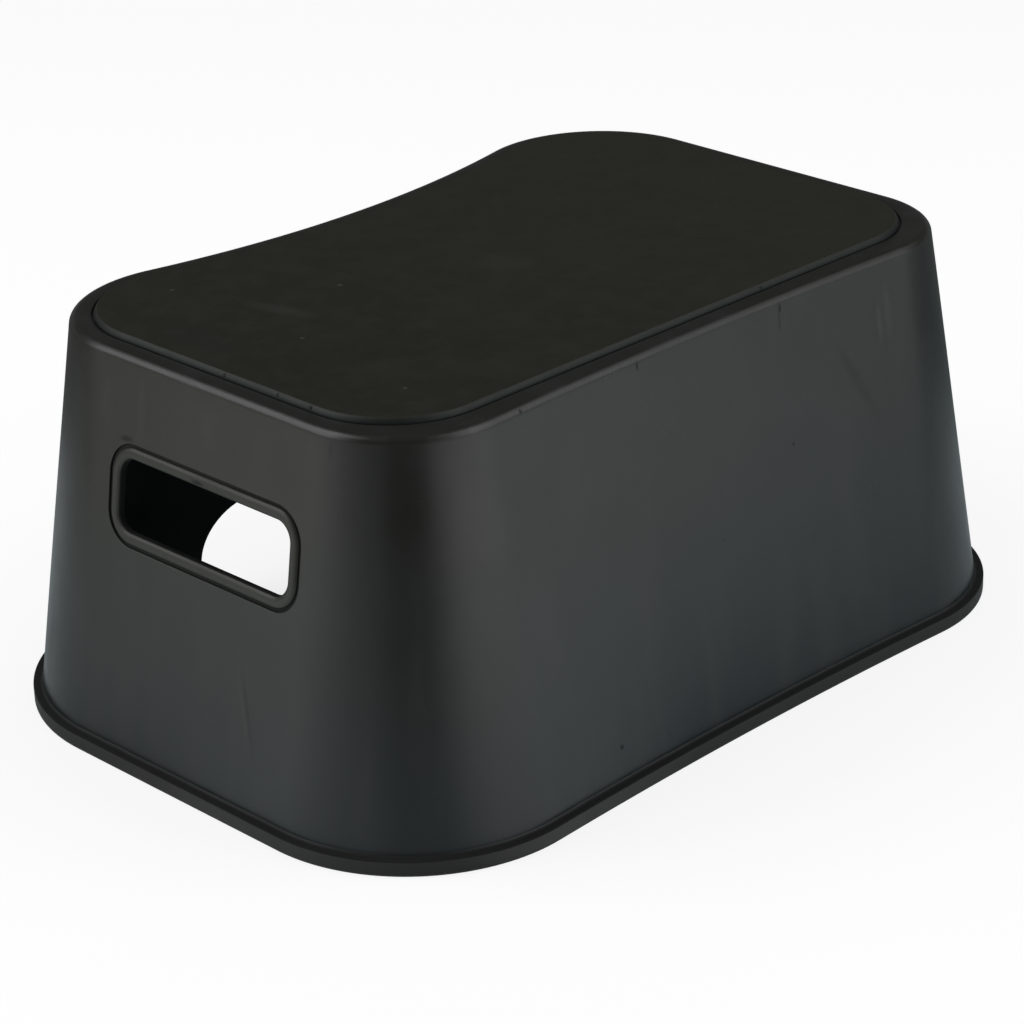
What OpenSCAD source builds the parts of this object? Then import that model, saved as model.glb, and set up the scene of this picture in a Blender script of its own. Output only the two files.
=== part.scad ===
// One-step stool for a caravan or camper: a drafted plastic shell with a waisted plan, two ringed
// hand slots, an arch in the back wall, and a rubber tread mat in a shallow recess on top.
// X runs along the stool's length, the front is -Y, and the origin is on the floor at its centre.

/* [Shell] */
// Height of the lip round the tread above the floor
lip_height = 186.6; // [150:0.2:240]
// Length of the top, end to end
top_length = 376; // [340:1:460]
// Width of the top across its corners
top_width = 247.5; // [220:0.5:300]
// Radius of the two front corners in plan
front_radius = 52; // [46:0.5:60]
// Radius of the two back corners in plan
back_radius = 60.5; // [54:0.5:66]
// How far the front side curves in at its middle
front_waist = 3.4; // [2:0.1:6]
// How far the back side curves in at its middle
back_waist = 15.3; // [8:0.1:20]
// How far each wall spreads outward from the lip to the floor
splay = 27.5; // [18:0.5:34]
// Thickness of the walls
wall = 3; // [2.4:0.1:4]
// Thickness of the deck under the lip
deck = 4; // [3.5:0.1:5]
// Radius of the rounded top edge
lip_fillet = 3.2; // [2:0.1:3.4]

/* [Foot rim] */
// How far the foot rim stands out beyond the wall
rim_out = 3.4; // [2.6:0.1:6]
// Height of the foot rim
rim_height = 7.2; // [5:0.1:9]
// Radius of the rim's upper outer edge
rim_fillet = 0.9; // [0.6:0.1:1.6]

/* [Hand slots] */
// Length of the finger opening in each end wall
slot_length = 110; // [95:1:115]
// Height of the finger opening
slot_height = 33.5; // [28:0.5:36]
// Corner radius of the finger opening
slot_radius = 8.7; // [6:0.1:12]
// Height of the opening's centre above the floor
slot_z = 125; // [115:0.5:128]
// Place of the opening's centre along the end wall
slot_y = -9; // [-14:0.5:4]
// Width of the raised ring that edges the opening
ring_width = 5.4; // [4:0.1:6.5]
// How far the ring stands out of the wall, and into the hollow
ring_proud = 0.7; // [0.4:0.1:1.2]
// Radius of the ring's two rounded edges
ring_round = 1.4; // [0.8:0.1:1.8]

/* [Back arch] */
// Width of the arch in the back wall
arch_width = 161; // [120:1:170]
// Height of the arch above the floor
arch_height = 50; // [40:0.5:60]
// Radius of the arch's two upper corners
arch_radius = 28; // [16:0.5:34]

/* [Ribs] */
// Thickness of the ribs under the deck
rib = 2; // [1.6:0.1:2.6]
// Depth of the ribs below the deck
rib_depth = 14; // [8:0.5:15]
// Place of the innermost pair of cross ribs, either side of the middle
rib_first_x = 11.75; // [8:0.25:18]
// Spacing of the cross ribs
rib_pitch_x = 35.25; // [30:0.25:38]
// Spacing of the long ribs, counted from the slots' centre line
rib_pitch_y = 38.4; // [32:0.2:39]

/* [Tread mat] */
// Inset of the mat from the top's two ends
mat_end_inset = 9.5; // [8.6:0.1:14]
// Inset of the mat from the top's front and back
mat_side_inset = 13.5; // [9:0.1:16]
// Thickness of the mat
mat_thickness = 3.6; // [2.5:0.1:5]
// Depth of the recess that it lies in
recess_depth = 1.2; // [0.8:0.1:1.5]
// Gap between the mat and the wall of its recess
mat_gap = 0.5; // [0.3:0.1:0.8]
// Radius of the mat's rounded upper edge
mat_fillet = 1.2; // [0.6:0.1:1.8]

/* [Hidden] */

$fn = 64;
// Steps round each corner, the front waist, the back waist and a small rounded edge
corner_steps = 14;
front_waist_steps = 6;
back_waist_steps = 12;
fillet_steps = 5;
// Overlap where one shape runs into another
bite = 1;
// Length of a cutter that runs right through a wall
through = 40;

// The walls' lean from the upright, and their thickness measured level
lean = atan(splay / lip_height);
level_wall = wall / cos(lean);
// Width of the lip that the walls' own section carries inward over the deck
lip_reach = 8;
// Corner radii of the mat, which keep its border even round the corners
mat_corner_step = (mat_end_inset + mat_side_inset) / 2;
mat_floor = lip_height - recess_depth;
deck_underside = lip_height - deck;

// Distance between the centre of a corner and the centre of the waist that it meets
function reach(corner_x, dip) = (corner_x * corner_x + dip * dip) / (2 * dip);

// Posts along a convex arc: each is [point, outward direction]
function corner_posts(centre, r, from, to) =
    [for (i = [0:corner_steps])
        let (a = from + (to - from) * i / corner_steps, out = [cos(a), sin(a)])
            [centre + r * out, out]];

// Posts along a concave arc without its two ends, seen from its centre outside the plan
function waist_posts(centre, r, from, to, steps) =
    [for (i = [1:steps - 1])
        let (a = from + (to - from) * i / steps, back = [cos(a), sin(a)])
            [centre + r * back, -back]];

// Posts anticlockwise round a plan of corners joined by straight ends and waisted sides
function plan_posts(length, width, front_r, back_r, front_dip, back_dip) =
    let (
        front_x = length / 2 - front_r,
        front_y = front_r - width / 2,
        front_reach = reach(front_x, front_dip),
        front_turn = asin(front_x / front_reach),
        back_x = length / 2 - back_r,
        back_y = width / 2 - back_r,
        back_reach = reach(back_x, back_dip),
        back_turn = asin(back_x / back_reach)
    )
    concat(
        corner_posts([front_x, front_y], front_r, -90 - front_turn, 0),
        corner_posts([back_x, back_y], back_r, 0, 90 + back_turn),
        waist_posts([0, width / 2 - back_dip + back_reach - back_r], back_reach - back_r,
            -90 + back_turn, -90 - back_turn, back_waist_steps),
        corner_posts([-back_x, back_y], back_r, 90 - back_turn, 180),
        corner_posts([-front_x, front_y], front_r, 180, 270 + front_turn),
        waist_posts([0, front_dip - width / 2 - front_reach + front_r], front_reach - front_r,
            90 + front_turn, 90 - front_turn, front_waist_steps)
    );

top_posts = plan_posts(top_length, top_width, front_radius, back_radius, front_waist, back_waist);
mat_posts = plan_posts(
    top_length - 2 * mat_end_inset,
    top_width - 2 * mat_side_inset,
    front_radius - mat_corner_step,
    back_radius - mat_corner_step,
    front_waist,
    back_waist
);

// Posts round the edge of a hand slot, with X along the wall and Y up it
slot_posts = [
    for (corner = [[1, 1, 0], [-1, 1, 90], [-1, -1, 180], [1, -1, 270]])
        let (
            x = corner[0] * (slot_length / 2 - slot_radius),
            y = corner[1] * (slot_height / 2 - slot_radius)
        )
        for (post = corner_posts([x, y], slot_radius, corner[2], corner[2] + 90)) post
];

// How far the wall's outer face stands outside the top's plan at height z
function spread(z) = splay * (1 - z / lip_height);

// Points along an arc in a section
function arc(centre, r, from, to) =
    [for (i = [0:fillet_steps])
        let (a = from + (to - from) * i / fillet_steps) centre + r * [cos(a), sin(a)]];

// Section of the wall with its foot rim and rounded lip, as [distance outward, height]
fillet_x = -lip_fillet * (1 - sin(lean)) / cos(lean);
rim_face = splay + rim_out;
wall_section = concat(
    [[rim_face, 0]],
    arc([rim_face - rim_fillet, rim_height - rim_fillet], rim_fillet, 0, 90),
    [[spread(rim_height), rim_height]],
    arc([fillet_x, lip_height - lip_fillet], lip_fillet, lean, 90),
    [
        [-lip_reach, lip_height],
        [-lip_reach, deck_underside],
        [spread(deck_underside) - level_wall, deck_underside],
        [splay - level_wall, 0]
    ]
);

// Section of the flange round the arch, wide enough to run into the wall
flange_top = arch_height + rim_height + bite;
flange_section = [
    [rim_face, 0],
    [spread(flange_top) + rim_out, flange_top],
    [spread(flange_top) - wall / 2, flange_top],
    [splay - wall / 2, 0]
];

// Section of the ring round a hand slot, as [distance from the opening, height above the wall]
ring_section = concat(
    [[ring_width, -wall - ring_proud]],
    arc([ring_width - ring_round, ring_proud - ring_round], ring_round, 0, 90),
    arc([ring_round, ring_proud - ring_round], ring_round, 90, 180),
    [[0, -wall - ring_proud]]
);

// Border of the mat from its underside up to its rounded upper edge
mat_border = concat([[0, 0]],
    arc([-mat_fillet, mat_thickness - mat_fillet], mat_fillet, 0, 90));

// Place of a section's point at a post
function at_post(post, point) =
    let (p = post[0] + point[0] * post[1]) [p[0], p[1], point[1]];

// Corners of the grid of points that a section makes at each post, post by post
function skin_points(posts, section) =
    [for (post = posts, point = section) at_post(post, point)];

// Two triangles between one pair of posts and one pair of section points
function skin_cell(i, j, k, l, m) =
    [[i * m + k, j * m + l, j * m + k], [i * m + k, i * m + l, j * m + l]];

// Sweeps a closed section all the way round a closed plan
module sweep_round(posts, section) {
    n = len(posts);
    m = len(section);
    polyhedron(
        skin_points(posts, section),
        [for (i = [0:n - 1], k = [0:m - 1], face = skin_cell(i, (i + 1) % n, k, (k + 1) % m, m)) face]
    );
}

// Fills a closed plan with a slab whose border has the section given, from the bottom up
module sweep_slab(posts, border) {
    n = len(posts);
    m = len(border);
    polyhedron(
        skin_points(posts, border),
        concat(
            [for (i = [0:n - 1], k = [0:m - 2], face = skin_cell(i, (i + 1) % n, k, k + 1, m)) face],
            [[for (i = [0:n - 1]) i * m]],
            [[for (i = [n - 1:-1:0]) i * m + m - 1]]
        )
    );
}

// Area inside a plan that is moved outward by one distance all the way round
module plan_area(posts, by = 0) {
    polygon([for (post = posts) post[0] + by * post[1]]);
}

// Moves children onto the outer face of an end wall, with X along the wall and Z out of it
module on_end_wall(side) {
    mirror([side, 0, 0])
        translate([top_length / 2 + spread(slot_z), slot_y, slot_z])
            rotate([0, 90 - lean, 0])
                rotate([0, 0, 90])
                    children();
}

// Ring round a hand slot, set into the wall
module slot_ring() {
    sweep_round(slot_posts, ring_section);
}

// Hole in the wall out to the middle of the ring
module slot_hole() {
    linear_extrude(through, center = true)
        plan_area(slot_posts, ring_width / 2);
}

// Prism through the back wall with the arch's outline moved outward by a distance
module arch_prism(by = 0) {
    half = arch_width / 2 + by;
    top = arch_height + by;
    radius = arch_radius + by;
    translate([0, top_width / 2 + splay, 0])
        rotate([90, 0, 0])
            linear_extrude(2 * through, center = true) {
                translate([-half, -bite])
                    square([2 * half, top - radius + bite]);
                translate([-half + radius, 0])
                    square([2 * (half - radius), top]);
                for (x = [-1, 1])
                    translate([x * (half - radius), top - radius])
                        circle(radius);
            }
}

// Flange that carries the foot rim up and over the arch
module arch_flange() {
    intersection() {
        arch_prism(rim_height);
        sweep_round(top_posts, flange_section);
    }
}

// Grid of ribs that stiffens the deck from below, trimmed inside the walls
module ribs() {
    rib_base = deck_underside - rib_depth;
    rib_rise = rib_depth + bite;
    intersection() {
        union() {
            for (side = [-1, 1], i = [0:4])
                translate([side * (rib_first_x + i * rib_pitch_x) - rib / 2, -top_width / 2, rib_base])
                    cube([rib, top_width, rib_rise]);
            for (i = [-2:2])
                translate([-top_length / 2, slot_y + i * rib_pitch_y - rib / 2, rib_base])
                    cube([top_length, rib, rib_rise]);
        }
        translate([0, 0, rib_base - bite])
            linear_extrude(rib_rise + 2 * bite)
                plan_area(top_posts);
    }
}

// Deck plate inside the lip
module deck_plate() {
    translate([0, 0, deck_underside])
        linear_extrude(deck)
            plan_area(top_posts, bite - lip_reach);
}

module body() {
    color([0.19, 0.2, 0.2])
        union() {
            difference() {
                union() {
                    sweep_round(top_posts, wall_section);
                    deck_plate();
                    ribs();
                    arch_flange();
                }
                translate([0, 0, mat_floor])
                    linear_extrude(through)
                        plan_area(mat_posts, mat_gap);
                arch_prism();
                for (side = [0, 1])
                    on_end_wall(side)
                        slot_hole();
            }
            for (side = [0, 1])
                on_end_wall(side)
                    slot_ring();
        }
}

module tread_mat() {
    color([0.15, 0.15, 0.13])
        translate([0, 0, mat_floor])
            sweep_slab(mat_posts, mat_border);
}

body();
tread_mat();
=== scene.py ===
"""Plastic step stool: its moulded shell, rubber tread mat, finishes, studio light and camera."""

import math

import bmesh
import bpy
import numpy as np
from mathutils import Matrix, Vector


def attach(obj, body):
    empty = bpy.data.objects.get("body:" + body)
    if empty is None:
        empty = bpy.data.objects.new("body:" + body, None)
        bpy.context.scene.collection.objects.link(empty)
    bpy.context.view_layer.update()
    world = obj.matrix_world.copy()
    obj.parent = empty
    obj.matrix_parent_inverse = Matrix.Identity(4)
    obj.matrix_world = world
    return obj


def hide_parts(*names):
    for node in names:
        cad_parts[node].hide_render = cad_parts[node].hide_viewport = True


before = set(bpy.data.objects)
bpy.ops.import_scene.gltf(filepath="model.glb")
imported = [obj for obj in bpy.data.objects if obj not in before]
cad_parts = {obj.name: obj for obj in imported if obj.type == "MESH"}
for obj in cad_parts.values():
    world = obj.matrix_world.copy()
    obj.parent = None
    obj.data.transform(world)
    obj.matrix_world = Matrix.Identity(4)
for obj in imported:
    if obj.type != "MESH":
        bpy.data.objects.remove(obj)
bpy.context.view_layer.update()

MM = 0.001

# Sizes of the shell in millimetres, as in the part's source. The lip's fillet is a millimetre
# larger than there, as the photograph shows it, and the last two rounds are only here.
LIP_HEIGHT = 186.6
TOP_LENGTH = 376.0
TOP_WIDTH = 247.5
FRONT_RADIUS = 52.0
BACK_RADIUS = 60.5
FRONT_WAIST = 3.4
BACK_WAIST = 15.3
SPLAY = 27.5
WALL = 3.0
DECK = 4.0
LIP_FILLET = 4.2
RIM_OUT = 3.4
RIM_HEIGHT = 7.2
RIM_FILLET = 0.9
ROOT_ROUND = 1.3
EDGE_ROUND = 0.5

# Hand slots, each with a raised ring. The groove round the ring is only here.
SLOT_LENGTH = 110.0
SLOT_HEIGHT = 33.5
SLOT_RADIUS = 8.7
SLOT_Y = -9.0
SLOT_Z = 125.0
RING_WIDTH = 5.4
RING_PROUD = 0.7
GROOVE_WIDTH = 1.6
GROOVE_DEPTH = 1.1
GROOVE_ROUND = 0.4

# Arch in the back wall, and the hairline that keeps the flange's faces off the cut edge
ARCH_WIDTH = 161.0
ARCH_HEIGHT = 50.0
ARCH_RADIUS = 28.0
FLANGE_GAP = 0.05

# Ribs under the deck, and how far hidden ends run into what holds them
RIB = 2.0
RIB_DEPTH = 14.0
RIB_FIRST_X = 11.75
RIB_PITCH_X = 35.25
RIB_PITCH_Y = 38.4
RIBS_EACH_SIDE = 5
RIBS_LENGTHWISE = 5
BITE = 1.0

# Tread mat and the recess that it lies in. The mat's plan was measured along its joint line in
# the photograph. Its edge stands on a short upright foot, then falls back in a curve.
MAT_END_INSET = 10.6
MAT_FRONT_INSET = 14.0
MAT_BACK_INSET = 10.3
MAT_FRONT_WAIST = 0.3
MAT_FRONT_RADIUS = 45.0
MAT_BACK_RADIUS = 50.5
MAT_THICKNESS = 3.6
MAT_GAP = 1.1
MAT_FOOT = 0.9
MAT_SLOPE_LOW = 80.0
MAT_SLOPE_HIGH = 42.0
MAT_BROW_STEP = 0.35
RECESS_DEPTH = 1.2

# Unevenness of the moulded wall: height of its ripple and its swell, how fast they grow from
# rim and lip, and the distances from a hand slot between which they come in
RIPPLE = 0.07
SWELL = 0.16
WARP_POWER = 0.7
CALM_NEAR = 9.0
CALM_FAR = 24.0

# Fineness of the visual mesh
CORNER_STEPS = 40
WAIST_STEPS = 72
END_STEPS = 48
WALL_LOOPS = 30
EDGE_STEPS = 4
RIM_STEPS = 8
ROOT_STEPS = 6
LIP_STEPS = 12
SLOT_STEPS = 14
CROWN_STEPS = 20
CROWN_SHADE_STEPS = 3
GROOVE_STEPS = 5
ARCH_STEPS = 14
ARCH_FOOT_STEPS = 7
FLANGE_STEPS = 6
MAT_FLANK_STEPS = 14
MAT_BROW_STEPS = 7
CREASE = math.radians(32)

# Reach of the cutters: through an end wall, from outside the back wall to inside it, and
# below the floor
SLOT_CUT = 15.0
ARCH_CUT = (200.0, 80.0)
ARCH_CUT_FOOT = -10.0

# Worked out from the sizes above
LEAN = math.atan(SPLAY / LIP_HEIGHT)
LEVEL_WALL = WALL / math.cos(LEAN)
DECK_UNDERSIDE = LIP_HEIGHT - DECK
MAT_FLOOR = LIP_HEIGHT - RECESS_DEPTH
RIM_FACE = SPLAY + RIM_OUT
RING_REACH = RING_WIDTH + GROOVE_WIDTH + GROOVE_ROUND


def arc_steps(start, end, steps):
    """Angles along an arc in radians, from its ends in degrees."""
    return np.radians(np.linspace(start, end, steps + 1))


def directions(angles):
    """Unit directions at some angles, one to a row."""
    return np.stack([np.cos(angles), np.sin(angles)], 1)


def corner_posts(centre, radius, start, end):
    """Points of a convex corner, and the outward direction at each."""
    out = directions(arc_steps(start, end, CORNER_STEPS))
    return np.array(centre) + radius * out, out


def waist_posts(centre, radius, start, end):
    """Points of a concave side between its corners, and the outward direction at each."""
    back = directions(arc_steps(start, end, WAIST_STEPS)[1:-1])
    return np.array(centre) + radius * back, -back


def end_posts(x, start_y, end_y):
    """Points of a straight end between its corners, and the outward direction at each."""
    y = np.linspace(start_y, end_y, END_STEPS + 1)[1:-1]
    points = np.stack([np.full_like(y, x), y], 1)
    return points, np.tile([math.copysign(1, x), 0.0], (len(y), 1))


def waist_of(half_length, half_width, radius, dip):
    """Corner centre, angle turned to the waist, and centre and radius of the waist arc."""
    x = half_length - radius
    apart = (x * x + dip * dip) / (2 * dip)
    turn = math.degrees(math.asin(x / apart))
    return x, half_width - radius, turn, half_width - dip + apart - radius, apart - radius


def plan_posts(length, width, front_radius, back_radius, front_waist):
    """Posts anticlockwise round a plan: points and outward directions, in millimetres."""
    half, side = length / 2, width / 2
    fx, fy, front_turn, front_centre, front_arc = waist_of(half, side, front_radius, front_waist)
    bx, by, back_turn, back_centre, back_arc = waist_of(half, side, back_radius, BACK_WAIST)
    runs = [
        corner_posts((fx, -fy), front_radius, -90 - front_turn, 0),
        end_posts(half, -fy, by),
        corner_posts((bx, by), back_radius, 0, 90 + back_turn),
        waist_posts((0, back_centre), back_arc, -90 + back_turn, -90 - back_turn),
        corner_posts((-bx, by), back_radius, 90 - back_turn, 180),
        end_posts(-half, by, -fy),
        corner_posts((-fx, -fy), front_radius, 180, 270 + front_turn),
        waist_posts((0, -front_centre), front_arc, 90 + front_turn, 90 - front_turn),
    ]
    points, outward = zip(*runs)
    return np.concatenate(points), np.concatenate(outward)


TOP_POSTS = plan_posts(TOP_LENGTH, TOP_WIDTH, FRONT_RADIUS, BACK_RADIUS, FRONT_WAIST)
MAT_PLAN, MAT_OUTWARD = plan_posts(
    TOP_LENGTH - 2 * MAT_END_INSET,
    TOP_WIDTH - MAT_FRONT_INSET - MAT_BACK_INSET,
    MAT_FRONT_RADIUS,
    MAT_BACK_RADIUS,
    MAT_FRONT_WAIST,
)
MAT_POSTS = (MAT_PLAN + [0, (MAT_FRONT_INSET - MAT_BACK_INSET) / 2], MAT_OUTWARD)


def spread(z):
    """How far the wall's outer face stands outside the top's plan at height z."""
    return SPLAY * (1 - z / LIP_HEIGHT)


def level_loop(posts, out, z):
    """Loop of points at one distance outside a plan and one height."""
    points, outward = posts
    flat = points + out * outward
    return np.column_stack([flat, np.full(len(flat), z)])


def fillet(centre, radius, start, end, steps=EDGE_STEPS):
    """Section points along a small rounded edge, as (distance outward, height)."""
    angles = arc_steps(start, end, steps)
    return [(centre[0] + radius * math.cos(a), centre[1] + radius * math.sin(a)) for a in angles]


def new_piece(name, points, faces, material):
    """Closed mesh object from points in millimetres, riding on the stool's one body."""
    mesh = bpy.data.meshes.new(name)
    mesh.from_pydata((np.asarray(points) * MM).tolist(), [], faces)
    work = bmesh.new()
    work.from_mesh(mesh)
    bmesh.ops.recalc_face_normals(work, faces=work.faces)
    work.to_mesh(mesh)
    work.free()
    piece = bpy.data.objects.new(name, mesh)
    bpy.context.scene.collection.objects.link(piece)
    mesh.materials.append(material)
    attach(piece, "root")
    return piece


def grid_faces(rows, columns, wrap_rows=False):
    """Quads between neighbouring points of a grid, stored row by row, whose rows are closed."""
    return [
        (
            i * columns + j,
            i * columns + (j + 1) % columns,
            (i + 1) % rows * columns + (j + 1) % columns,
            (i + 1) % rows * columns + j,
        )
        for i in range(rows if wrap_rows else rows - 1)
        for j in range(columns)
    ]


def stack(loops):
    """Points and faces of a closed solid whose loops run from one cap to the other."""
    count = len(loops[0])
    first_cap = tuple(range(count - 1, -1, -1))
    last_cap = tuple((len(loops) - 1) * count + i for i in range(count))
    return np.concatenate(loops), grid_faces(len(loops), count) + [first_cap, last_cap]


def shade_by_angle(piece):
    """Smooth shading with creases kept sharp."""
    piece.data.shade_smooth()
    piece.data.set_sharp_from_angle(angle=CREASE)


def paint_faces(piece, material, is_chosen):
    """Second finish for a piece, on the faces whose index is chosen."""
    piece.data.materials.append(material)
    for face in piece.data.polygons:
        if is_chosen(face.index):
            face.material_index = 1


def cut_away(piece, cutter):
    """Takes a cutter's shape out of a piece, and removes the cutter."""
    modifier = piece.modifiers.new("cut", "BOOLEAN")
    modifier.operation = "DIFFERENCE"
    modifier.solver = "EXACT"
    modifier.object = cutter
    depsgraph = bpy.context.evaluated_depsgraph_get()
    result = bpy.data.meshes.new_from_object(piece.evaluated_get(depsgraph))
    piece.modifiers.clear()
    piece.data = result
    bpy.data.objects.remove(cutter)


def warp(z):
    """Share of the unevenness that shows at height z: none at rim and lip."""
    rise = (z - RIM_HEIGHT) / (LIP_HEIGHT - LIP_FILLET - RIM_HEIGHT)
    return math.sin(math.pi * min(max(rise, 0), 1)) ** WARP_POWER


def calm(points, z):
    """Share of the unevenness left at each point: none round a hand slot, whose ring sits flat."""
    past_y = np.abs(points[:, 1] - SLOT_Y) - SLOT_LENGTH / 2
    past_z = abs(z - SLOT_Z) - SLOT_HEIGHT / 2
    away = np.clip((np.maximum(past_y, past_z) - CALM_NEAR) / (CALM_FAR - CALM_NEAR), 0, 1)
    on_end = np.abs(points[:, 0]) > TOP_LENGTH / 2 - FRONT_RADIUS
    return np.where(on_end, away * away * (3 - 2 * away), 1.0)


def unevenness(points, z):
    """Outward offset of the moulded wall, a quarter millimetre at most.

    The lengths in the waves, in millimetres, share no factor, so that no pattern repeats.
    """
    x, y = points[:, 0], points[:, 1]
    ripple = np.sin(x / 23 + 0.9 * np.sin(y / 41)) * np.cos(y / 31 + z / 57)
    swell = np.sin(x / 61 - y / 47 + z / 83)
    return warp(z) * calm(points, z) * (RIPPLE * ripple + SWELL * swell)


def shell_loops():
    """Loops from the deck's underside, down the inside, over the rim and up to the recess."""
    lean = math.degrees(LEAN)
    loops = [
        level_loop(TOP_POSTS, spread(z) - LEVEL_WALL, z)
        for z in np.linspace(DECK_UNDERSIDE, EDGE_ROUND, WALL_LOOPS)
    ]
    foot = fillet((SPLAY - LEVEL_WALL + EDGE_ROUND, EDGE_ROUND), EDGE_ROUND, 180, 270)
    sole = fillet((RIM_FACE - EDGE_ROUND, EDGE_ROUND), EDGE_ROUND, -90, 0)
    brow = fillet((RIM_FACE - RIM_FILLET, RIM_HEIGHT - RIM_FILLET), RIM_FILLET, 0, 90, RIM_STEPS)
    root_centre = (spread(RIM_HEIGHT) + ROOT_ROUND, RIM_HEIGHT + ROOT_ROUND)
    root = fillet(root_centre, ROOT_ROUND, 270, 180 - lean, ROOT_STEPS)
    loops += [level_loop(TOP_POSTS, out, z) for out, z in foot + sole + brow + root]
    shoulder = LIP_HEIGHT - LIP_FILLET * (1 - math.sin(LEAN))
    for z in np.linspace(RIM_HEIGHT + ROOT_ROUND, shoulder, WALL_LOOPS)[1:-1]:
        face = level_loop(TOP_POSTS, spread(z), z)
        face[:, :2] += unevenness(face, z)[:, None] * TOP_POSTS[1]
        loops.append(face)
    lip_out = -LIP_FILLET * (1 - math.sin(LEAN)) / math.cos(LEAN)
    lip = fillet((lip_out, LIP_HEIGHT - LIP_FILLET), LIP_FILLET, lean, 90, LIP_STEPS)
    loops += [level_loop(TOP_POSTS, out, z) for out, z in lip]
    brink = fillet((MAT_GAP + EDGE_ROUND, LIP_HEIGHT - EDGE_ROUND), EDGE_ROUND, 90, 180)
    loops += [level_loop(MAT_POSTS, out, z) for out, z in brink]
    loops.append(level_loop(MAT_POSTS, MAT_GAP, MAT_FLOOR))
    return loops


def slot_outline():
    """Points and outward directions anticlockwise round the edge of a hand slot."""
    across, up = SLOT_LENGTH / 2 - SLOT_RADIUS, SLOT_HEIGHT / 2 - SLOT_RADIUS
    points, outward = [], []
    for x, y, start in ((1, 1, 0), (-1, 1, 90), (-1, -1, 180), (1, -1, 270)):
        out = directions(arc_steps(start, start + 90, SLOT_STEPS))
        points.append([x * across, y * up] + SLOT_RADIUS * out)
        outward.append(out)
    return np.concatenate(points), np.concatenate(outward)


def end_wall_frame(side):
    """Matrix from an end wall's own frame, X along it and Z out of it, in millimetres."""
    place = Vector((side * (TOP_LENGTH / 2 + spread(SLOT_Z)), SLOT_Y, SLOT_Z))
    out = Vector((side * math.cos(LEAN), 0, math.sin(LEAN)))
    along = Vector((0, side, 0))
    up = out.cross(along)
    return Matrix.Translation(place) @ Matrix((along, up, out)).transposed().to_4x4()


def placed(matrix, points):
    """Points moved by a matrix."""
    turn = np.array(matrix.to_3x3())
    return np.asarray(points) @ turn.T + np.array(matrix.translation)


def slot_cutter(side, material):
    """Prism through an end wall, out to the far edge of the ring's groove."""
    outline = slot_outline()
    points, faces = stack([level_loop(outline, RING_REACH, z) for z in (-SLOT_CUT, SLOT_CUT)])
    points = placed(end_wall_frame(side), points)
    return new_piece("slot_cutter", points, faces, material)


def ring_section():
    """Section of a ring and its groove, as (distance from the opening, height above the wall).

    Its points run from the wall's inner face up the opening, over the crown and the groove,
    and back down inside the wall.
    """
    back = -WALL - RING_PROUD
    half = RING_WIDTH / 2
    section = fillet((EDGE_ROUND, back + EDGE_ROUND), EDGE_ROUND, 270, 180)
    for a in arc_steps(180, 0, CROWN_STEPS):
        height = (RING_PROUD + GROOVE_DEPTH) * math.sin(a) - GROOVE_DEPTH
        section.append((half + half * math.cos(a), height))
    section.append((RING_WIDTH + GROOVE_WIDTH, -GROOVE_DEPTH))
    section += fillet((RING_REACH, -GROOVE_ROUND), GROOVE_ROUND, 180, 90, GROOVE_STEPS)
    section += [(RING_REACH, -WALL + EDGE_ROUND), (RING_WIDTH, back)]
    return np.array(section)


def slot_ring(side, material, inside):
    """Raised ring that edges a hand slot, with painted shade in its opening, on its crown's inner
    flank and in its groove, and dark at its back.
    """
    section = ring_section()
    count = len(section)
    rows = []
    for point, out in zip(*slot_outline()):
        rows.append(np.column_stack([point + section[:, :1] * out, section[:, 1]]))
    points = placed(end_wall_frame(side), np.concatenate(rows))
    faces = grid_faces(len(rows), count, wrap_rows=True)
    name = "slot_ring_right" if side > 0 else "slot_ring_left"
    piece = new_piece(name, points, faces, material)
    crown = EDGE_STEPS + 1
    groove = crown + CROWN_STEPS
    # Painted shade: the opening, the crown's inner flank and the groove's floor take the dark inner
    # finish
    opening = range(crown + CROWN_SHADE_STEPS)
    dark = {*opening, groove - 1, groove, groove + 1, count - 2, count - 1}
    paint_faces(piece, inside, lambda index: index % count in dark)
    shade_by_angle(piece)


def arch_outline():
    """Points and outward directions of the arch from its left foot over to its right."""
    half, straight = ARCH_WIDTH / 2, ARCH_HEIGHT - ARCH_RADIUS
    foot = np.linspace(0, straight, ARCH_FOOT_STEPS + 1)[:-1]
    points = [(-half, z) for z in foot]
    outward = [(-1.0, 0.0)] * len(foot)
    for x, start in ((-half + ARCH_RADIUS, 180), (half - ARCH_RADIUS, 90)):
        for out in directions(arc_steps(start, start - 90, ARCH_STEPS)):
            points.append((x, straight) + ARCH_RADIUS * out)
            outward.append(out)
    points += [(half, z) for z in reversed(foot)]
    outward += [(1.0, 0.0)] * len(foot)
    return np.array(points), np.array(outward)


def arch_cutter(material):
    """Prism through the back wall."""
    outline, _ = arch_outline()
    half = ARCH_WIDTH / 2
    outline = np.vstack([[-half, ARCH_CUT_FOOT], outline, [half, ARCH_CUT_FOOT]])
    points, faces = stack([np.insert(outline, 1, y, axis=1) for y in ARCH_CUT])
    return new_piece("arch_cutter", points, faces, material)


def back_wall_y(x, z):
    """Place of the back wall's outer face at a width and height."""
    _, _, _, centre, radius = waist_of(TOP_LENGTH / 2, TOP_WIDTH / 2, BACK_RADIUS, BACK_WAIST)
    return centre - np.sqrt((radius - spread(z)) ** 2 - x * x)


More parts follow.
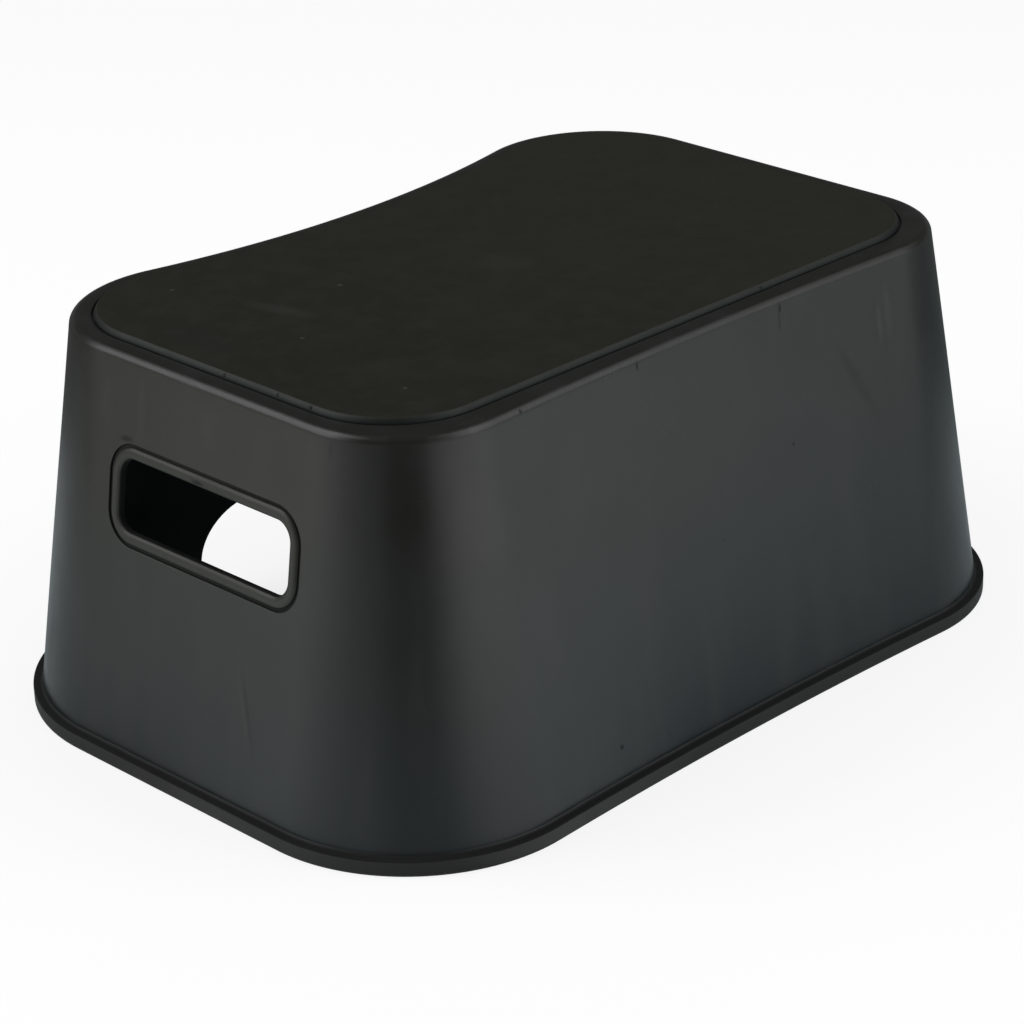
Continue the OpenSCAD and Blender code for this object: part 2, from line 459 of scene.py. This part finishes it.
def arch_flange(material):
    """Flange that carries the foot rim up and over the arch."""
    far, proud = RIM_HEIGHT, RIM_OUT
    section = [(FLANGE_GAP, -WALL + EDGE_ROUND)]
    section += fillet((FLANGE_GAP + EDGE_ROUND, proud - EDGE_ROUND), EDGE_ROUND, 180, 90)
    section += fillet((far - RIM_FILLET, proud - RIM_FILLET), RIM_FILLET, 90, 0, FLANGE_STEPS)
    section += [(far, EDGE_ROUND), (far + EDGE_ROUND, 0.0), (far + EDGE_ROUND, -WALL / 2)]
    rows = []
    for point, out in zip(*arch_outline()):
        row = []
        for away, depth in section:
            x, z = point + away * out
            row.append((x, back_wall_y(x, max(z, 0)) + depth, z))
        rows.append(row)
    points, faces = stack(rows)
    shade_by_angle(new_piece("arch_flange", points, faces, material))


def crossing(loop, axis, value):
    """Lowest and highest point where a closed loop crosses a line, along the other axis."""
    never_zero = 1e-12
    following = np.roll(loop, -1, 0)
    low, high = loop[:, axis], following[:, axis]
    hit = (low - value) * (high - value) <= 0
    share = (value - low[hit]) / (high[hit] - low[hit] + never_zero)
    other = loop[hit, 1 - axis] + share * (following[hit, 1 - axis] - loop[hit, 1 - axis])
    return other.min(), other.max()


def rib_lines():
    """Middle lines of the ribs, as (axis that they cross, place on it)."""
    crosswise = [RIB_FIRST_X + i * RIB_PITCH_X for i in range(RIBS_EACH_SIDE)]
    reach = RIBS_LENGTHWISE // 2
    lengthwise = [SLOT_Y + i * RIB_PITCH_Y for i in range(-reach, reach + 1)]
    return [(0, side * x) for side in (-1, 1) for x in crosswise] + [(1, y) for y in lengthwise]


def rib_grid(material):
    """Ribs under the deck, each running a little way into the walls and the deck."""
    box = [(0, 1, 3, 2), (4, 6, 7, 5), (0, 4, 5, 1), (2, 3, 7, 6), (0, 2, 6, 4), (1, 5, 7, 3)]
    levels = [
        (z + bite, level_loop(TOP_POSTS, spread(z) - LEVEL_WALL + BITE / 2, z))
        for z, bite in ((DECK_UNDERSIDE - RIB_DEPTH, 0), (DECK_UNDERSIDE, BITE / 2))
    ]
    points, faces = [], []
    for axis, value in rib_lines():
        faces += [tuple(len(points) + i for i in face) for face in box]
        for z, wall in levels:
            for along in crossing(wall, axis, value):
                for across in (value - RIB / 2, value + RIB / 2):
                    points.append((across, along, z) if axis == 0 else (along, across, z))
    new_piece("deck_ribs", points, faces, material)


def make_body(skin, rings, inside):
    """The moulded shell with its slots, rings, arch, flange and ribs, in three finishes."""
    points, faces = stack(shell_loops())
    shell = new_piece("shell", points, faces, skin)
    inner_faces = (WALL_LOOPS - 1) * len(TOP_POSTS[0])
    underside = len(faces) - 2
    paint_faces(shell, inside, lambda index: index < inner_faces or index == underside)
    for side in (-1, 1):
        cut_away(shell, slot_cutter(side, skin))
        slot_ring(side, rings, inside)
    cut_away(shell, arch_cutter(skin))
    shade_by_angle(shell)
    arch_flange(skin)
    rib_grid(inside)
    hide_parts("body")


def make_mat(material):
    """Rubber sheet in the recess, whose edge rises steeply and lies down towards the top."""
    flank = np.radians(np.linspace(MAT_SLOPE_LOW, MAT_SLOPE_HIGH, MAT_FLANK_STEPS))
    brow = np.radians(np.linspace(MAT_SLOPE_HIGH, 0, MAT_BROW_STEPS + 1)[1:])
    slopes = np.concatenate([flank, brow])
    lengths = np.concatenate([np.full(len(flank), 1.0), np.full(len(brow), MAT_BROW_STEP)])
    rise = np.cumsum(lengths * np.sin(slopes))
    run = np.cumsum(lengths * np.cos(slopes))
    scale = (MAT_THICKNESS - MAT_FOOT) / rise[-1]
    section = [(0.0, 0.0), (0.0, MAT_FOOT)]
    section += list(zip(-run * scale, MAT_FOOT + rise * scale))
    points, faces = stack([level_loop(MAT_POSTS, out, MAT_FLOOR + z) for out, z in section])
    mat = new_piece("mat", points, faces, material)
    shade_by_angle(mat)
    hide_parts("tread_mat")


def opaque(r, g, b):
    """Colour for a node, from its linear parts."""
    return (r, g, b, 1.0)


class Finish:
    """The nodes of a material or a world, with short calls for the ones it needs."""

    def __init__(self, owner, coordinate="Object"):
        owner.use_nodes = True
        self.owner = owner
        self.tree = owner.node_tree
        self.shader = self.tree.nodes.get("Principled BSDF") or self.tree.nodes["Background"]
        self.place = self.new("TexCoord").outputs[coordinate]

    def new(self, kind):
        """Adds a node of a kind."""
        return self.tree.nodes.new("ShaderNode" + kind)

    def plug(self, socket, value):
        """Sets a socket to a number or colour, or links it to another socket."""
        if isinstance(value, bpy.types.NodeSocket):
            self.tree.links.new(value, socket)
        else:
            socket.default_value = value

    def surface(self, inputs):
        """Fills the shader's inputs by name, and gives back the material."""
        for name, value in inputs.items():
            self.plug(self.shader.inputs[name], value)
        return self.owner

    def axis(self, name):
        """One coordinate of the place."""
        node = self.new("SeparateXYZ")
        self.plug(node.inputs["Vector"], self.place)
        return node.outputs[name]

    def mapped(self, kind, inputs):
        """The place scaled by a POINT mapping, or as seen from a TEXTURE mapping's own frame."""
        node = self.new("Mapping")
        node.vector_type = kind
        self.plug(node.inputs["Vector"], self.place)
        for name, value in inputs.items():
            node.inputs[name].default_value = value
        return node.outputs["Vector"]

    def bearing(self, centre=(0, 0)):
        """Direction from a point of the plan in mm, as a share of a turn from -180 degrees."""
        node = self.new("TexGradient")
        node.gradient_type = "RADIAL"
        around = self.mapped("TEXTURE", {"Location": Vector((*centre, 0)) * MM})
        self.plug(node.inputs["Vector"], around)
        return node.outputs["Fac"]

    def noise(self, scale, detail, roughness=0.5, stretch=(1, 1, 1)):
        """Noise over the object's own place, with a scale in turns per metre."""
        node = self.new("TexNoise")
        self.plug(node.inputs["Vector"], self.mapped("POINT", {"Scale": stretch}))
        node.inputs["Scale"].default_value = scale
        node.inputs["Detail"].default_value = detail
        node.inputs["Roughness"].default_value = roughness
        return node.outputs["Fac"]

    def patches(self, scale, detail, low, high, **more):
        """Mask from noise: 0 under a low level of it, 1 over a high one."""
        return self.remap(self.noise(scale, detail, **more), low, high)

    def remap(self, value, low, high, to_low=0.0, to_high=1.0):
        """Smooth step from one range to another."""
        node = self.new("MapRange")
        node.interpolation_type = "SMOOTHSTEP"
        names = ("Value", "From Min", "From Max", "To Min", "To Max")
        for name, number in zip(names, (value, low, high, to_low, to_high)):
            self.plug(node.inputs[name], number)
        return node.outputs["Result"]

    def ramp(self, value, stops):
        """Colour by value, from (value, colour) stops."""
        node = self.new("ValToRGB")
        self.plug(node.inputs["Fac"], value)
        elements = node.color_ramp.elements
        while len(elements) < len(stops):
            elements.new(0.5)
        for element, (place, colour) in zip(elements, stops):
            element.position = place
            element.color = colour
        return node.outputs["Color"]

    def blot(self, centre, size, turn=(0, 0, 0), core=0.2):
        """1 in the core of an ellipsoid, fading to 0 at its edge: mm, and a turn in degrees."""
        inside = self.mapped("TEXTURE", {
            "Location": Vector(centre) * MM,
            "Rotation": [math.radians(t) for t in turn],
            "Scale": Vector(size) * MM,
        })
        length = self.new("VectorMath")
        length.operation = "LENGTH"
        self.plug(length.inputs[0], inside)
        return self.remap(length.outputs["Value"], core, 1.0, 1.0, 0.0)

    def blots(self, marks):
        """Strongest of several blots, each given as (strength, centre, size, turn)."""
        strength, *shape = marks[0]
        total = self.times(self.blot(*shape), strength)
        for strength, *shape in marks[1:]:
            spot = self.times(self.blot(*shape), strength)
            total = self.math("MAXIMUM", total, spot)
        return total

    def math(self, operation, a, b=0.0):
        """One step of arithmetic."""
        node = self.new("Math")
        node.operation = operation
        self.plug(node.inputs[0], a)
        self.plug(node.inputs[1], b)
        return node.outputs["Value"]

    def plus(self, a, b):
        """Sum."""
        return self.math("ADD", a, b)

    def times(self, a, b):
        """Product."""
        return self.math("MULTIPLY", a, b)

    def mix(self, share, a, b):
        """Blend of two colours."""
        node = self.new("Mix")
        node.data_type = "RGBA"
        self.plug(node.inputs["Factor"], share)
        self.plug(node.inputs[6], a)
        self.plug(node.inputs[7], b)
        return node.outputs[2]

    def layer(self, tone, colour, mask, strength):
        """A tone with a colour laid over it, where a mask lets it through."""
        return self.mix(self.times(mask, strength), tone, colour)

    def bump(self, height, distance, strength, below=None):
        """Bump of a real depth in metres, over another bump if one is given."""
        node = self.new("Bump")
        node.inputs["Distance"].default_value = distance
        node.inputs["Strength"].default_value = strength
        self.plug(node.inputs["Height"], height)
        if below is not None:
            self.plug(node.inputs["Normal"], below)
        return node.outputs["Normal"]


# Base colours of the shell
SHELL_HIGH = opaque(0.0107, 0.0112, 0.009)
SHELL_LOW = opaque(0.0062, 0.009, 0.01)
SHELL_CLOUD = opaque(0.0135, 0.0148, 0.0142)
SHELL_STREAK = opaque(0.02, 0.021, 0.0195)
SHELL_FLECK = opaque(0.032, 0.032, 0.029)
SHELL_SCRAPE_AND_HIGHLIGHT = opaque(0.03, 0.031, 0.028)
SHELL_DUST = opaque(0.022, 0.0225, 0.0155)
LIP_PALE_TONE = opaque(0.026, 0.028, 0.026)
RIM_TONE = opaque(0.0138, 0.0138, 0.0118)
# Dark of the specks and smudges, and of the painted shade at the ledge and over the rib sink marks
GRIME_AND_SHADE = opaque(0.002, 0.002, 0.002)
INNER_DARK = opaque(0.005, 0.0055, 0.0052)
INNER_LIGHT = opaque(0.008, 0.0085, 0.008)

# Heights in metres at which the shell's tones change: low wall, lip and foot rim
LOW_WALL = (0.0, 0.14)
LIP_LEVEL = (0.1855, 0.1865)
RIM_LEVEL = (0.0069, 0.0074)

# Painted shade in the crease at the foot rim's ledge: height, and half height of its full and its
# fading part
LEDGE_SHADE = 0.0073
LEDGE_SHADE_SPREAD = (0.0003, 0.0008)

# Shares: dust on the slot rings, a paler tone on the lip's top, painted shade on the ledge
RING_DUST = 0.6
LIP_PALE_SHARE = 0.17
LEDGE_SHADE_SHARE = 0.9

# Roughness of each surface, from its smoothest to its roughest places, and what is added to it
SHELL_ROUGH = (0.27, 0.34)
INNER_ROUGH = (0.6, 0.75)
MAT_ROUGH = (0.51, 0.55)
STREAK_ROUGH = 0.05
DUST_ROUGH = 0.2
RIM_ROUGH = 0.3
GRIME_AND_SHADE_ROUGH = 0.5
NICK_ROUGH = 0.45

# Refraction, and specular levels where a surface is duller than that alone makes it
PLASTIC_IOR = 1.49
RUBBER_IOR = 1.5
INNER_SPECULAR = 0.3
MAT_SPECULAR = 0.37

# Base colours of the mat, from its left end to its lighter right end: painted light
MAT_LEFT = opaque(0.0102, 0.0111, 0.006)
MAT_RIGHT = opaque(0.0142, 0.0149, 0.0083)
MAT_PATCH = opaque(0.0168, 0.0175, 0.0103)
MAT_MOTTLE = opaque(0.0182, 0.019, 0.0122)
MAT_FLECK = opaque(0.028, 0.028, 0.022)
MAT_FLANK = opaque(0.0075, 0.0095, 0.0095)
MAT_MARK = opaque(0.045, 0.047, 0.042)
MAT_NICK = opaque(0.003, 0.003, 0.002)

# Places in metres at which the mat's tones change: along it, and down its edge
MAT_ALONG = (-0.18, 0.14)
MAT_EDGE_LEVEL = (0.1883, 0.1889)

# Marks seen on the photographed stool: strength, place and half sizes in mm, and turn in degrees
SHELL_DARK_MARKS = [
    # The first six marks are sink marks over the ribs, whose dents show only as painted shade.
    (0.9, (-117.5, -122, 184.4), (1.3, 6, 1.6)),
    (0.9, (-45, -122, 182.3), (1.2, 6, 3.2)),
    (0.95, (48.5, -122, 181.5), (1.3, 6, 3.8)),
    (0.5, (47.5, -122, 176), (1.0, 6, 8)),
    (0.4, (-187.4, -83.6, 179), (6, 0.9, 7)),
    (0.5, (-187.7, 76.2, 178.4), (6, 1.6, 3)),
    (0.5, (-2.9, -134.6, 89.8), (1.5, 5, 1.4)),
    (0.9, (48.4, -130.9, 118.4), (1.3, 5, 1.3)),
    (1.0, (-83.3, -145.9, 22.3), (1.9, 5, 1.7)),
    (0.8, (-193.4, 42.5, 150), (5, 6.5, 2.2), (-8, 0, 0)),
    (0.7, (-195, -5.4, 143.7), (5, 5.5, 1.5)),
    (0.25, (94.5, -130, 135), (41, 14, 4.5), (0, 61, 0)),
    (0.35, (-203.5, -46.5, 44), (10, 2.2, 37), (-15.5, 0, 0)),
]
SHELL_LIGHT_MARKS = [
    (0.5, (113, -127, 157), (2.4, 8, 15)),
    (0.4, (119, -127, 160), (3.5, 8, 22)),
    (0.45, (-203.5, -43.6, 44), (10, 1.6, 36), (-15.5, 0, 0)),
    (0.25, (-190, 57, 163), (8, 6, 16)),
    (0.22, (-190, 34, 165), (8, 4, 20)),
    (0.2, (-189, -10, 170), (8, 9, 14)),
    # The last two marks are painted highlights on the lip's fillet by the near corner.
    (0.6, (-186.1, -83.7, 185.2), (5, 4, 1.8)),
    (0.6, (-144.5, -122.9, 184.8), (5, 4, 1.8)),
]
MAT_LIGHT_MARKS = [
    (0.9, (-73.6, 33.5, 189), (1.6, 1.6, 3)),
    (0.7, (-127.6, 86.2, 189), (1.8, 1.2, 3)),
    (0.8, (-128.6, -1.9, 189), (1.5, 1.5, 3)),
    (0.8, (-138.5, -76.4, 189), (1.6, 1.2, 3)),
    (0.22, (-112, 31, 189), (7, 24, 5), (0, 0, 15)),
    (0.12, (-4, -3, 189), (16, 18, 5), (0, 0, 20)),
]
MAT_DARK_MARKS = [
    (0.3, (-159, 30, 189), (14, 34, 5)),
    (0.6, (-177, -6.4, 187.6), (2.6, 1.3, 1.5)),
    (0.6, (-177, -40, 187.6), (2.6, 1.1, 1.5)),
    (0.7, (-177, -60.4, 187.6), (2.6, 1.4, 1.5)),
    (0.6, (50, -109.6, 187.6), (1.4, 2.6, 1.5)),
]


def shell_plastic(name, dust=0.0):
    """Black polypropylene with a satin skin, streaks, scuffing, marks, painted highlights and
    painted shade, and a share of dust.
    """
    f = Finish(bpy.data.materials.new(name))
    z = f.axis("Z")
    cloud = f.patches(scale=9, detail=3, low=0.35, high=0.7)
    streak = f.patches(scale=60, detail=2, low=0.45, high=0.75, stretch=(1, 1, 0.06))
    fleck = f.patches(scale=420, detail=2, low=0.68, high=0.78)
    rim = f.remap(z, *RIM_LEVEL, 1.0, 0.0)
    # Painted shade: a dark line along the crease at the root of the foot rim's ledge
    off_ledge = f.math("ABSOLUTE", f.math("SUBTRACT", z, LEDGE_SHADE))
    ledge_shade = f.remap(off_ledge, *LEDGE_SHADE_SPREAD, LEDGE_SHADE_SHARE, 0.0)
    dark = f.math("MAXIMUM", f.blots(SHELL_DARK_MARKS), ledge_shade)

    tone = f.mix(f.remap(z, *LOW_WALL, 1.0, 0.0), SHELL_HIGH, SHELL_LOW)
    tone = f.layer(tone, SHELL_CLOUD, cloud, strength=0.5)
    tone = f.layer(tone, SHELL_STREAK, streak, strength=0.4)
    tone = f.layer(tone, SHELL_FLECK, fleck, strength=0.25)
    tone = f.mix(dust, tone, SHELL_DUST)
    # A paler tone over the lip's top
    tone = f.mix(f.remap(z, *LIP_LEVEL, 0.0, LIP_PALE_SHARE), tone, LIP_PALE_TONE)
    tone = f.mix(rim, tone, RIM_TONE)
    # Scrapes, and the painted highlights on the lip's fillet
    tone = f.mix(f.blots(SHELL_LIGHT_MARKS), tone, SHELL_SCRAPE_AND_HIGHLIGHT)
    tone = f.mix(dark, tone, GRIME_AND_SHADE)

    rough = f.remap(f.noise(scale=35, detail=4), 0.3, 0.75, *SHELL_ROUGH)
    for mask, more in ((streak, STREAK_ROUGH), (rim, RIM_ROUGH), (dark, GRIME_AND_SHADE_ROUGH)):
        rough = f.plus(rough, f.times(mask, more))
    grain = f.bump(f.noise(scale=2600, detail=2), distance=0.00004, strength=0.5)
    ripple = f.bump(f.noise(scale=70, detail=2), distance=0.0004, strength=0.25, below=grain)
    return f.surface({
        "Base Color": tone,
        "Roughness": f.plus(rough, DUST_ROUGH * dust),
        "IOR": PLASTIC_IOR,
        "Normal": ripple,
    })


def inner_plastic():
    """The same plastic on the mould's core side: matt, with a coarser grain."""
    f = Finish(bpy.data.materials.new("inner_plastic"))
    cloud = f.patches(scale=22, detail=4, low=0.35, high=0.7)
    return f.surface({
        "Base Color": f.mix(cloud, INNER_DARK, INNER_LIGHT),
        "Roughness": f.remap(cloud, 0, 1, *INNER_ROUGH),
        "IOR": PLASTIC_IOR,
        "Specular IOR Level": INNER_SPECULAR,
        "Normal": f.bump(f.noise(scale=1400, detail=3), distance=0.0001, strength=0.6),
    })


def tread_rubber():
    """Matt rubber, warm with dust, mottled, faintly pitted and nicked along its edge."""
    f = Finish(bpy.data.materials.new("tread_rubber"))
    patch = f.patches(scale=30, detail=4, roughness=0.6, low=0.35, high=0.7)
    mottle = f.patches(scale=90, detail=4, roughness=0.6, low=0.4, high=0.7)
    fleck = f.patches(scale=330, detail=3, low=0.66, high=0.76)
    edge = f.remap(f.axis("Z"), *MAT_EDGE_LEVEL, 1.0, 0.0)
    dark = f.blots(MAT_DARK_MARKS)

    # Lighter towards the right end: painted light
    tone = f.mix(f.remap(f.axis("X"), *MAT_ALONG), MAT_LEFT, MAT_RIGHT)
    tone = f.layer(tone, MAT_PATCH, patch, strength=0.5)
    tone = f.layer(tone, MAT_MOTTLE, mottle, strength=0.3)
    tone = f.layer(tone, MAT_FLECK, fleck, strength=0.25)
    tone = f.mix(edge, tone, MAT_FLANK)
    tone = f.mix(f.blots(MAT_LIGHT_MARKS), tone, MAT_MARK)

    grain = f.bump(f.noise(scale=1500, detail=3), distance=0.00006, strength=0.5)
    pits = f.bump(f.noise(scale=260, detail=3), distance=0.0002, strength=0.2, below=grain)
    return f.surface({
        "Base Color": f.mix(dark, tone, MAT_NICK),
        "Roughness": f.plus(f.remap(mottle, 0, 1, *MAT_ROUGH), f.times(dark, NICK_ROUGH)),
        "IOR": RUBBER_IOR,
        "Specular IOR Level": MAT_SPECULAR,
        "Normal": pits,
    })


# The stage: half sizes of its two sheets and the card's height in mm, and their tones
FLOOR_REACH = 6000
CARD_REACH = 5900
CARD_HEIGHT = 1
SHEET_ROUGHNESS = 0.9
WHITE = opaque(1, 1, 1)
FLOOR_TONE = opaque(0.88, 0.89, 0.9)
FLOOR_SEEN = opaque(0.22, 0.22, 0.22)
FLOOR_GLOW = 0.78

# Tones of the studio that the plastic mirrors, by direction in degrees from a point by the near
# corner: pale to the front and to the far left, black towards the camera, dark to the right
CARD_CENTRE = (-145.0, -90.0)
CARD_TONES = [
    (-180, (0.46, 0.47, 0.47)),
    (-160, (0.28, 0.3, 0.3)),
    (-145, (0.0, 0.0, 0.0)),
    (-122, (0.0, 0.0, 0.0)),
    (-110, (0.42, 0.42, 0.42)),
    (-98, (0.86, 0.86, 0.86)),
    (-86, (1.0, 1.0, 1.0)),
    (-66, (1.0, 1.0, 1.0)),
    (-46, (0.82, 0.85, 0.85)),
    (-37, (0.51, 0.56, 0.57)),
    (-31, (0.14, 0.17, 0.19)),
    (-14, (0.1, 0.12, 0.13)),
    (5, (0.1, 0.12, 0.12)),
    (75, (0.1, 0.1, 0.1)),
    (98, (0.08, 0.08, 0.08)),
    (114, (0.17, 0.17, 0.15)),
    (122, (0.25, 0.24, 0.22)),
    (134, (0.66, 0.65, 0.61)),
    (148, (0.77, 0.78, 0.75)),
    (165, (0.66, 0.67, 0.67)),
    (180, (0.46, 0.47, 0.47)),
]
CARD_GLOW = 0.45
CARD_CONTRAST = 2.0

# Even tone of the card close to the stool, a painted shade of the floor round its foot as the
# plastic mirrors it, and where X + Y in metres takes it away again
NEAR_SHADE_TONE = opaque(0.53, 0.58, 0.6)
NEAR_SHARE = 0.62
NEAR_SIZE = (900, 900, 600)
NEAR_CORE = 0.45
FAR_SIDE = (0.18, 0.5)

# World: light on surfaces, and what glossy ones mirror, dark above a horizon that fades upward
FILL_TONE = opaque(0.62, 0.62, 0.62)
OVERHEAD_TONE = opaque(0.03, 0.03, 0.03)
HORIZON_WHITE = 0.1
HORIZON_FADE = (0.06, 0.3)

# Glows round the lamps: direction times 1000, radius on the same scale, and brightness
GLOW_CORE = 0.35
LAMP_GLOWS = [
    ((-200, 640, 740), 420, 0.63),
    ((640, -200, 740), 400, 0.6),
    ((-850, 300, 430), 330, 1.2),
    ((130, -880, 430), 330, 1.2),
]

# Tall soft lights to the left and to the front right: place in metres and power in watts
LIGHTS = {"left": ((-0.95, 0.8, 1.15), 10.5), "right": ((0.65, -1.05, 1.15), 8.5)}
LIGHT_SIZE = (1.1, 1.5)
LIGHT_COLOUR = (0.98, 1.0, 1.0)
LIGHT_TARGET = (0, 0, 0.09)

# Camera at the photograph's viewing angle: degrees, and distance and point of aim in mm
CAMERA_AZIMUTH = -44.89
CAMERA_ELEVATION = 24.56
CAMERA_ROLL = -1.50
CAMERA_DISTANCE = 1549.5
CAMERA_TARGET = (-6.7, -5.2, 65.5)
CAMERA_LENS = 115.69
CAMERA_SENSOR = 36


def stage_sheet(name, reach, height, material):
    """Level square sheet of the stage, not part of the stool: half size and height in mm."""
    corners = [(x * reach, y * reach, height) for x, y in ((-1, -1), (1, -1), (1, 1), (-1, 1))]
    mesh = bpy.data.meshes.new(name)
    mesh.from_pydata((np.array(corners) * MM).tolist(), [], [(0, 1, 2, 3)])
    mesh.materials.append(material)
    sheet = bpy.data.objects.new(name, mesh)
    bpy.context.scene.collection.objects.link(sheet)
    return sheet


def make_floor():
    """White floor that keeps the stool's soft shadow."""
    f = Finish(bpy.data.materials.new("pale_floor"))
    camera = f.new("LightPath").outputs["Is Camera Ray"]
    material = f.surface({
        "Base Color": f.mix(camera, FLOOR_TONE, FLOOR_SEEN),
        "Emission Color": WHITE,
        "Emission Strength": f.times(camera, FLOOR_GLOW),
        "Roughness": SHEET_ROUGHNESS,
        "Specular IOR Level": 0.0,
    })
    stage_sheet("floor", FLOOR_REACH, 0, material)


def card_stops():
    """The card's tones as stops of a ramp once round."""
    return [((degrees + 180) / 360, opaque(*tone)) for degrees, tone in CARD_TONES]


def make_card():
    """Card over the floor that only reflections see, toned by direction."""
    f = Finish(bpy.data.materials.new("reflection_card"))
    near_side = f.remap(f.plus(f.axis("X"), f.axis("Y")), *FAR_SIDE, 1.0, 0.0)
    near = f.times(f.blot((0, 0, 0), NEAR_SIZE, core=NEAR_CORE), near_side)
    around = f.ramp(f.bearing(CARD_CENTRE), card_stops())
    # Painted shade of the floor by the stool's foot
    tone = f.layer(around, NEAR_SHADE_TONE, near, strength=NEAR_SHARE)
    contrast = f.new("Gamma")
    f.plug(contrast.inputs["Color"], tone)
    contrast.inputs["Gamma"].default_value = CARD_CONTRAST
    material = f.surface({
        "Base Color": tone,
        "Emission Color": contrast.outputs["Color"],
        "Emission Strength": CARD_GLOW,
        "Roughness": SHEET_ROUGHNESS,
        "Specular IOR Level": 0.0,
    })
    sheet = stage_sheet("reflection_card", CARD_REACH, CARD_HEIGHT, material)
    sheet.visible_camera = False
    sheet.visible_diffuse = False
    sheet.visible_transmission = False
    sheet.visible_shadow = False


def make_world():
    """White behind the stool, dark overhead in reflections, and a plain level of grey for light."""
    world = bpy.data.worlds.new("studio")
    bpy.context.scene.world = world
    f = Finish(world, "Generated")
    path = f.new("LightPath").outputs
    horizon = f.mix(HORIZON_WHITE, f.ramp(f.bearing(), card_stops()), WHITE)
    backdrop = f.mix(f.remap(f.axis("Z"), *HORIZON_FADE, 1.0, 0.0), OVERHEAD_TONE, horizon)
    for centre, radius, level in LAMP_GLOWS:
        glow = f.blot(centre, (radius, radius, radius), core=GLOW_CORE)
        backdrop = f.mix(glow, backdrop, opaque(level, level, level))
    mirrored = f.plus(path["Is Glossy Ray"], path["Is Transmission Ray"])
    shade = f.mix(mirrored, FILL_TONE, backdrop)
    f.surface({"Color": f.mix(path["Is Camera Ray"], shade, WHITE)})


def make_camera():
    """Camera at the photograph's viewing angle."""
    azimuth, elevation = math.radians(CAMERA_AZIMUTH), math.radians(CAMERA_ELEVATION)
    roll = math.radians(CAMERA_ROLL)
    back = Vector((
        math.sin(azimuth) * math.cos(elevation),
        -math.cos(azimuth) * math.cos(elevation),
        math.sin(elevation),
    ))
    level = Vector((math.cos(azimuth), math.sin(azimuth), 0))
    up = back.cross(level)
    right = math.cos(roll) * level + math.sin(roll) * up
    upward = -math.sin(roll) * level + math.cos(roll) * up
    data = bpy.data.cameras.new("camera")
    data.sensor_width = CAMERA_SENSOR
    data.lens = CAMERA_LENS
    camera = bpy.data.objects.new("camera", data)
    place = Vector(CAMERA_TARGET) * MM + back * (CAMERA_DISTANCE * MM)
    turn = Matrix((right, upward, back)).transposed().to_4x4()
    camera.matrix_world = Matrix.Translation(place) @ turn
    bpy.context.scene.collection.objects.link(camera)
    bpy.context.scene.camera = camera


def make_lights():
    """Large soft area lights that look at the stool's middle."""
    for name, (place, power) in LIGHTS.items():
        light = bpy.data.lights.new(name, "AREA")
        light.shape = "RECTANGLE"
        light.size, light.size_y = LIGHT_SIZE
        light.energy = power
        light.color = LIGHT_COLOUR
        lamp = bpy.data.objects.new(name, light)
        lamp.location = place
        lamp.rotation_mode = "QUATERNION"
        towards = Vector(LIGHT_TARGET) - lamp.location
        lamp.rotation_quaternion = towards.to_track_quat("-Z", "Y")
        bpy.context.scene.collection.objects.link(lamp)


make_body(shell_plastic("shell_plastic"), shell_plastic("ring_plastic", RING_DUST), inner_plastic())
make_mat(tread_rubber())
make_floor()
make_card()
make_world()
make_lights()
make_camera()
bpy.context.scene.view_settings.view_transform = "Standard"
